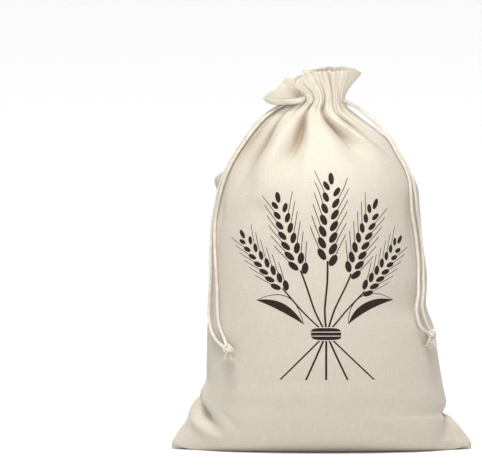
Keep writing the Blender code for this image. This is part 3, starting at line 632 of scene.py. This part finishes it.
def panelRows(facing):
    start = -90.0 if facing < 0 else 90.0
    arounds = start + 180.0 * np.linspace(0.0, 1.0, cloth["columns"] + 1)
    heights = np.linspace(0.0, 1.0, cloth["wallRows"] + 1)
    # closer rows at the foot and under the neck
    heights = throughPoints([0.0, 0.14, 0.50, 0.62, 1.0], [0.0, 0.040, 0.230, 0.270, cinch], heights)
    rows = [floorPoint(facing, arounds, share) for share in np.linspace(0.0, 1.0, 13)[:-1]]
    rows += [wallPoint(facing, arounds, height) for height in heights]
    rows += [rufflePoint(facing, arounds, share) for share in np.linspace(0.0, 1.0, 31)[1:]]
    # painted shade for each row: none on the floor, the fold shade up the wall, fading out up the ruffle
    shades = [np.zeros_like(arounds)] * 12 + [foldShade(arounds, np.full_like(arounds, h)) for h in heights]
    shades += [foldShade(arounds, np.full_like(arounds, cinch)) * (1.0 - i / 30) for i in range(1, 31)]
    return arounds, np.array(rows), np.array(shades), 30


def clothSheet(name, facing):
    arounds, rows, shades, hemRows = panelRows(facing)
    normals = np.cross(np.gradient(rows, axis=1), np.gradient(rows, axis=0))
    # at the seams the two panels' edges face each other squarely, or lie side by side in the corners
    normals[0, :, 1] *= cornerShare(arounds)
    for j in (0, -1):
        normals[:, j, 1] *= flatness(arounds[j], np.clip(rows[:, j, 2], 0.0, cinch))
    normals /= np.linalg.norm(normals, axis=2, keepdims=True)
    thick = np.full(len(rows), cloth["thick"])
    ramped = np.clip(np.arange(len(rows)) - (len(rows) - hemRows - 3), 0, 3) / 3.0
    thick += (cloth["hemThick"] - cloth["thick"]) * ramped
    thick[-1] *= 0.45  # the folded edge is rounded
    thick[-2] *= 0.85
    half = thick[:, None, None] / 2.0
    outer, inner = rows + normals * half, rows - normals * half
    count, wide = rows.shape[:2]
    points = np.concatenate([outer.reshape(-1, 3), inner.reshape(-1, 3)])
    index = np.arange(count * wide).reshape(count, wide)
    a, b, c, d = index[:-1, :-1], index[:-1, 1:], index[1:, 1:], index[1:, :-1]
    front = np.stack([a, b, c, d], -1).reshape(-1, 4)
    back = np.stack([a, d, c, b], -1).reshape(-1, 4) + count * wide
    edge = np.concatenate([index[0, :-1], index[:-1, -1], index[-1, :0:-1], index[:0:-1, 0]])
    following = np.roll(edge, -1)
    rim = np.stack([edge, edge + count * wide, following + count * wide, following], -1)
    faces = np.concatenate([front, back, rim])
    mesh = bpy.data.meshes.new(name)
    mesh.from_pydata(points.tolist(), [], faces.tolist())
    # the cloth's own flat measure: across from the middle, and up from the bottom seam
    middle = wide // 2
    up = np.concatenate([[0.0], np.cumsum(np.linalg.norm(np.diff(rows[:, middle], axis=0), axis=1))])
    across = (np.arange(wide) / (wide - 1) - 0.5) * cloth["flatWidth"]
    flat = np.stack(np.broadcast_arrays(across[None, :], up[:, None]), -1).reshape(-1, 2)
    flat = np.concatenate([flat, flat])
    layer = mesh.uv_layers.new(name="flatCloth")
    corners = np.empty(len(mesh.loops), int)
    mesh.loops.foreach_get("vertex_index", corners)
    layer.data.foreach_set("uv", flat[corners].astype(np.float32).ravel())
    # the painted fold shade, which the material darkens the cloth by
    layer = mesh.attributes.new("foldShade", "FLOAT", "POINT")
    layer.data.foreach_set("value", np.tile(shades.ravel(), 2).astype(np.float32))
    slots = np.zeros(len(faces), int)
    slots[len(front):] = 1
    mesh.polygons.foreach_set("material_index", slots)
    mesh.shade_smooth()
    mesh.update()
    made = bpy.data.objects.new(name, mesh)
    bpy.context.collection.objects.link(made)
    return made


def surfaceTree(*things):
    points, faces = [], []
    for thing in things:
        faces += [[len(points) + k for k in face.vertices] for face in thing.data.polygons]
        points += [vert.co for vert in thing.data.vertices]
    return BVHTree.FromPolygons(points, faces)


# the drawstrings' free ends

cord = dict(
    diameter=0.0032,
    plies=3,
    pitch=0.0095,           # along the cord, of one ply's turn
    groove=0.17,
    ringStep=0.0008,
    sides=18,
    rest=0.0002,            # kept between cord and cloth
)
cordRoutes = {}


def curvedThrough(route, fineSteps=16):
    ends = [route[0] * 2 - route[1]] + route + [route[-1] * 2 - route[-2]]
    fine = []
    for a, b, c, d in zip(ends, ends[1:], ends[2:], ends[3:]):
        for i in range(fineSteps):
            t = i / fineSteps
            fine.append(0.5 * (2 * b + (c - a) * t + (2 * a - 5 * b + 4 * c - d) * t * t
                               + (3 * b - a - 3 * c + d) * t * t * t))
    return fine + [route[-1]]


def evenly(fine, step):
    lengths = np.cumsum([0.0] + [(b - a).length for a, b in zip(fine, fine[1:])])
    places = np.linspace(0.0, lengths[-1], max(round(lengths[-1] / step), 2) + 1)
    columns = [np.interp(places, lengths, [p[axis] for p in fine]) for axis in range(3)]
    return [Vector(p) for p in zip(*columns)]


def twistedTube(name, centres, radius, plies, pitch, groove, sides, start=None):
    # a round cord of a few plies, laid along the centres
    run = [(b - a).normalized() for a, b in zip(centres, centres[1:])]
    run = [run[0]] + [(a + b).normalized() for a, b in zip(run, run[1:])] + [run[-1]]
    side = run[0].orthogonal().normalized() if start is None else start
    mesh = bmesh.new()
    rings = []
    far = 0.0
    for k, (centre, way) in enumerate(zip(centres, run)):
        if k:
            far += (centre - centres[k - 1]).length
            side = (side - way * side.dot(way)).normalized()
        up = way.cross(side)
        ring = []
        for j in range(sides):
            angle = 2.0 * math.pi * j / sides
            lobe = abs(math.cos(plies / 2.0 * (angle - 2.0 * math.pi * far / (pitch * plies) * plies)))
            size = radius * (1.0 - groove * (1.0 - lobe ** 0.7))
            ring.append(mesh.verts.new(centre + (side * math.cos(angle) + up * math.sin(angle)) * size))
        rings.append(ring)
    for low, high in zip(rings, rings[1:]):
        for j in range(sides):
            mesh.faces.new((low[j], low[(j + 1) % sides], high[(j + 1) % sides], high[j]))
    mesh.faces.new(rings[0][::-1])
    mesh.faces.new(rings[-1])
    return placeMesh(name, mesh)


def placeMesh(name, mesh):
    data = bpy.data.meshes.new(name)
    mesh.to_mesh(data)
    mesh.free()
    data.shade_smooth()
    made = bpy.data.objects.new(name, data)
    bpy.context.collection.objects.link(made)
    return made


# each pair of ends leaves the hem at a side seam and runs to one knot
cordRoutes["left_front"] = [
    (-0.0456, -0.0046, 0.3408), (-0.0580, -0.0061, 0.3311), (-0.0682, -0.0110, 0.3199),
    (-0.0770, -0.0159, 0.3075), (-0.0853, -0.0208, 0.2949), (-0.0927, -0.0246, 0.2814),
    (-0.0984, -0.0244, 0.2666), (-0.1023, -0.0219, 0.2513), (-0.1053, -0.0198, 0.2358),
    (-0.1067, -0.0212, 0.2201), (-0.1068, -0.0246, 0.2045), (-0.1060, -0.0290, 0.1892),
    (-0.1050, -0.0329, 0.1739), (-0.1043, -0.0355, 0.1581), (-0.1040, -0.0376, 0.1424),
    (-0.1025, -0.0409, 0.1269), (-0.0977, -0.0470, 0.1143), (-0.0954, -0.0518, 0.1084),
]
cordRoutes["left_back"] = [
    (-0.0392, 0.0029, 0.3454), (-0.0525, 0.0037, 0.3371), (-0.0646, -0.0003, 0.3274),
    (-0.0739, -0.0060, 0.3157), (-0.0827, -0.0109, 0.3033), (-0.0906, -0.0161, 0.2904),
    (-0.0973, -0.0188, 0.2762), (-0.1025, -0.0167, 0.2614), (-0.1056, -0.0137, 0.2460),
    (-0.1086, -0.0123, 0.2304), (-0.1097, -0.0135, 0.2144), (-0.1106, -0.0156, 0.1986),
    (-0.1107, -0.0177, 0.1827), (-0.1111, -0.0177, 0.1668), (-0.1121, -0.0173, 0.1508),
    (-0.1126, -0.0196, 0.1350), (-0.1105, -0.0273, 0.1212), (-0.1051, -0.0386, 0.1115),
    (-0.0972, -0.0507, 0.1050),
]
cordRoutes["right_front"] = [
    (0.0252, -0.0039, 0.3475), (0.0368, -0.0042, 0.3407), (0.0491, -0.0055, 0.3308),
    (0.0601, -0.0105, 0.3204), (0.0682, -0.0173, 0.3085), (0.0749, -0.0237, 0.2954),
    (0.0823, -0.0287, 0.2821), (0.0866, -0.0340, 0.2677), (0.0877, -0.0362, 0.2520),
    (0.0887, -0.0359, 0.2361), (0.0915, -0.0347, 0.2203), (0.0936, -0.0346, 0.2045),
    (0.0948, -0.0361, 0.1886), (0.0947, -0.0396, 0.1730), (0.0947, -0.0447, 0.1578),
    (0.0928, -0.0485, 0.1424), (0.0960, -0.0480, 0.1270), (0.1047, -0.0397, 0.1187),
]
cordRoutes["right_back"] = [
    (0.0252, 0.0042, 0.3467), (0.0362, 0.0058, 0.3417), (0.0485, 0.0003, 0.3329),
    (0.0594, -0.0047, 0.3221), (0.0692, -0.0102, 0.3105), (0.0765, -0.0166, 0.2976),
    (0.0839, -0.0218, 0.2843), (0.0896, -0.0269, 0.2701), (0.0922, -0.0299, 0.2546),
    (0.0940, -0.0290, 0.2386), (0.0967, -0.0267, 0.2228), (0.0987, -0.0261, 0.2068),
    (0.0997, -0.0275, 0.1908), (0.0995, -0.0305, 0.1749), (0.1000, -0.0357, 0.1596),
    (0.0987, -0.0404, 0.1442), (0.1026, -0.0390, 0.1293), (0.1061, -0.0368, 0.1224),
]


def restOn(surface, places, radius):
    # nudge the places out until the cord clears the cloth, and keep the run of them smooth
    moved = [0.0] * len(places)
    ways = []
    for k, place in enumerate(places):
        near, _, _, far = surface.find_nearest(place)
        ways.append((place - near).normalized())
        moved[k] = max(radius + cord["rest"] - far, 0.0)
    spread = [max(moved[max(k - 3, 0):k + 4]) for k in range(len(moved))]
    smooth = [sum(spread[max(k - 3, 0):k + 4]) / len(spread[max(k - 3, 0):k + 4]) for k in range(len(spread))]
    return [place + way * push for place, way, push in zip(places, ways, smooth)]


def drawstringEnd(key, surface):
    route = [Vector(p) for p in cordRoutes[key]]
    radius = cord["diameter"] / 2.0
    fine = evenly(curvedThrough(route), cord["ringStep"] * 5)
    settled = restOn(surface, fine[2:-3], radius)
    fine = fine[:2] + settled + fine[-3:]
    # into the hem at the start and into the knot at the end
    first = fine[0] + (fine[0] - fine[1]).normalized() * 0.004
    last = fine[-1] + (fine[-1] - fine[-2]).normalized() * 0.0025
    centres = evenly(curvedThrough([first] + fine[1:-1] + [last], 6), cord["ringStep"])
    piece = twistedTube(f"drawstring_{key}", centres, radius, cord["plies"], cord["pitch"], cord["groove"],
                        cord["sides"])
    length = sum((b - a).length for a, b in zip(centres, centres[1:]))
    return piece, centres, length


# knots and frayed ends

knots = dict(
    left=dict(middle=(-0.0932, -0.0564, 0.1030), size=0.00150, flat=1.50, lean=(20, 25, -40),
              tail=0.0085, tails=((-0.36, -0.30, -0.90), (0.26, -0.40, -0.89))),
    right=dict(middle=(0.1088, -0.0352, 0.1173), size=0.00122, flat=1.50, lean=(10, -30, 40),
               tail=0.0115, tails=((-0.42, -0.55, -0.90), (0.12, -0.50, -1.0))),
)
knotCord = dict(steps=150, sides=14, apart=0.00115, radius=0.00150, groove=0.15)
fray = dict(threads=40, thick=0.00032, root=0.0014, splay=0.22, seed=7)


def overhandKnot(side):
    look = knots[side]
    turned = Matrix.Rotation(math.radians(look["lean"][2]), 3, "Z") @ Matrix.Rotation(
        math.radians(look["lean"][1]), 3, "Y") @ Matrix.Rotation(math.radians(90 + look["lean"][0]), 3, "X")
    steps, sides = knotCord["steps"], knotCord["sides"]
    joined = bmesh.new()
    for strand in (-1, 1):
        rings = []
        for k in range(steps):
            t = 2.0 * math.pi * k / steps
            place = Vector((math.sin(t) + 2.0 * math.sin(2 * t), math.cos(t) - 2.0 * math.cos(2 * t),
                            -look["flat"] * math.sin(3 * t)))
            way = Vector((math.cos(t) + 4.0 * math.cos(2 * t), -math.sin(t) + 4.0 * math.sin(2 * t),
                          -3.0 * look["flat"] * math.cos(3 * t))).normalized()
            out = (place - way * place.dot(way)).normalized()
            up = way.cross(out)
            centre = place * look["size"] + up * strand * knotCord["apart"]
            ring = []
            for j in range(sides):
                angle = 2.0 * math.pi * j / sides
                lobe = abs(math.cos(1.5 * angle - 9.0 * t))
                size = knotCord["radius"] * (1.0 - knotCord["groove"] * (1.0 - lobe ** 0.7))
                spot = centre + (out * math.cos(angle) + up * math.sin(angle)) * size
                ring.append(joined.verts.new(turned @ spot + Vector(look["middle"])))
            rings.append(ring)
        for k in range(steps):
            low, high = rings[k], rings[(k + 1) % steps]
            for j in range(sides):
                joined.faces.new((low[j], low[(j + 1) % sides], high[(j + 1) % sides], high[j]))
    return placeMesh(f"knot_{side}_tied", joined)


def frayedEnds(side):
    look = knots[side]
    drawn = np.random.default_rng(fray["seed"] + len(side))
    mesh = bmesh.new()
    for tail in look["tails"]:
        down = Vector(tail).normalized()
        aside = down.orthogonal().normalized()
        beside = down.cross(aside)
        root = Vector(look["middle"]) + down * 0.0046
        for _ in range(fray["threads"]):
            turn, off = drawn.uniform(0.0, 2.0 * math.pi), math.sqrt(drawn.uniform(0.0, 1.0))
            spoke = (aside * math.cos(turn) + beside * math.sin(turn)) * off
            length = look["tail"] * drawn.uniform(0.62, 1.0)
            curl = Vector(drawn.normal(0.0, 0.0007, 3))
            spots = [root + spoke * fray["root"],
                     root + spoke * fray["root"] * 1.05 + down * length * 0.35,
                     root + spoke * (fray["root"] + length * fray["splay"] * 0.35) + down * length * 0.70
                     + curl * 0.6,
                     root + spoke * (fray["root"] + length * fray["splay"]) + down * length + curl * 2.0]
            addThread(mesh, curvedThrough(spots, 3), fray["thick"])
    return placeMesh(f"fray_{side}_threads", mesh)


def addThread(mesh, places, thick):
    rings = []
    for k, place in enumerate(places):
        way = (places[min(k + 1, len(places) - 1)] - places[max(k - 1, 0)]).normalized()
        side = way.orthogonal().normalized()
        up = way.cross(side)
        size = thick * (1.0 - 0.4 * k / (len(places) - 1))
        rings.append([mesh.verts.new(place + (side * math.cos(a) + up * math.sin(a)) * size)
                      for a in (0.0, 1.5708, 3.1416, 4.7124)])
    for low, high in zip(rings, rings[1:]):
        for j in range(4):
            mesh.faces.new((low[j], low[(j + 1) % 4], high[(j + 1) % 4], high[j]))
    mesh.faces.new(rings[0][::-1])
    mesh.faces.new(rings[-1])


# camera, floor and light

studio = dict(
    sky=0.22,
    paper=(0.93, 0.93, 0.93, 1.0),
    paperWidth=16.0,
    paperFront=-9.0,
    paperBack=3.0,
    bend=1.5,               # radius of the sweep from floor to wall
    paperTop=9.0,
    sun=dict(strength=2.30, softness=24.0, height=73.0, aside=-8.0),
    boxes=(
        dict(name="softbox", power=3.2, size=0.45, spread=170.0, place=(-0.10, -0.80, 0.80),
             aim=(0.0, 0.0, 0.30)),
        dict(name="neckFill", power=0.03, size=0.06, spread=30.0, place=(0.02, -0.50, 0.22),
             aim=(-0.005, 0.0, 0.374)),
    ),
)


def setCamera():
    p = picture
    camera = bpy.data.objects.new("camera", bpy.data.cameras.new("camera"))
    bpy.context.collection.objects.link(camera)
    target = Vector((p["middle"][0], 0.0, p["middle"][1]))
    raised = math.radians(p["elevation"])
    camera.location = target + Vector((0.0, -math.cos(raised), math.sin(raised))) * p["distance"]
    camera.rotation_euler = (math.radians(90.0) - raised, 0.0, 0.0)
    camera.data.sensor_width = 36.0
    camera.data.lens = 36.0 * p["distance"] / p["width"]
    camera.data.clip_end = 200.0
    bpy.context.scene.camera = camera


def setStudio():
    s = studio
    # one sheet of paper: the floor, swept up into a wall far behind
    profile = [(s["paperFront"], 0.0), (s["paperBack"] - s["bend"], 0.0)]
    for i in range(1, 25):
        turn = math.radians(90.0 * i / 24)
        profile.append((s["paperBack"] - s["bend"] + s["bend"] * math.sin(turn),
                        s["bend"] * (1.0 - math.cos(turn))))
    profile.append((s["paperBack"], s["paperTop"]))
    wide = s["paperWidth"] / 2.0
    points = [(x, y, z) for y, z in profile for x in (-wide, wide)]
    faces = [(2 * i, 2 * i + 1, 2 * i + 3, 2 * i + 2) for i in range(len(profile) - 1)]
    floor = bpy.data.objects.new("floor", bpy.data.meshes.new("floor"))
    floor.data.from_pydata(points, [], faces)
    floor.data.shade_smooth()
    bpy.context.collection.objects.link(floor)
    material, _, shader = newMaterial("floorPaper", 0.9, 0.0)
    shader.inputs["Base Color"].default_value = s["paper"]
    floor.data.materials.append(material)
    world = bpy.data.worlds.new("studio")
    bpy.context.scene.world = world
    world.use_nodes = True
    sky = world.node_tree.nodes["Background"]
    sky.inputs["Color"].default_value = (1.0, 1.0, 1.0, 1.0)
    sky.inputs["Strength"].default_value = s["sky"]
    sun = bpy.data.objects.new("softSun", bpy.data.lights.new("softSun", "SUN"))
    sun.data.energy = s["sun"]["strength"]
    sun.data.angle = math.radians(s["sun"]["softness"])
    sun.rotation_euler = (math.radians(90.0 - s["sun"]["height"]), 0.0, math.radians(s["sun"]["aside"]))
    bpy.context.collection.objects.link(sun)
    for box in s["boxes"]:
        light = bpy.data.objects.new(box["name"], bpy.data.lights.new(box["name"], "AREA"))
        light.data.energy = box["power"]
        light.data.size = box["size"]
        light.data.spread = math.radians(box["spread"])
        light.location = box["place"]
        light.rotation_euler = (Vector(box["aim"]) - Vector(box["place"])).to_track_quat("-Z", "Y").to_euler()
        bpy.context.collection.objects.link(light)
    bpy.context.scene.view_settings.view_transform = "Standard"


def dress(piece, material, slot, *nodes):
    piece.data.materials.clear()
    piece.data.materials.append(material)
    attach(piece, "root")
    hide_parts(*nodes)


setCamera()
setStudio()
print("camera, floor and light set")

printedLinen = linenCloth("linenPrinted", True)
plainLinen = linenCloth("linenPlain", False)
cotton = cottonYarn("cottonCord")
print("finishes made")

frontPanel = clothSheet("frontPanel", -1.0)
backPanel = clothSheet("backPanel", 1.0)
dress(frontPanel, printedLinen, "linen", "front_panel")
frontPanel.data.materials.append(plainLinen)
dress(backPanel, plainLinen, "linen", "back_panel")
backPanel.data.materials.append(plainLinen)
print("panels sewn and gathered")

surface = surfaceTree(frontPanel, backPanel)
for side in ("left", "right"):
    tied = overhandKnot(side)
    dress(tied, cotton, "cotton_cord", f"knot_{side}")
    loose = frayedEnds(side)
    dress(loose, cotton, "cotton_cord", f"fray_{side}")
    for place in ("front", "back"):
        key = f"{side}_{place}"
        piece, centres, length = drawstringEnd(key, surface)
        dress(piece, cotton, "cotton_cord", f"cord_{key}")
print("drawstrings tied")
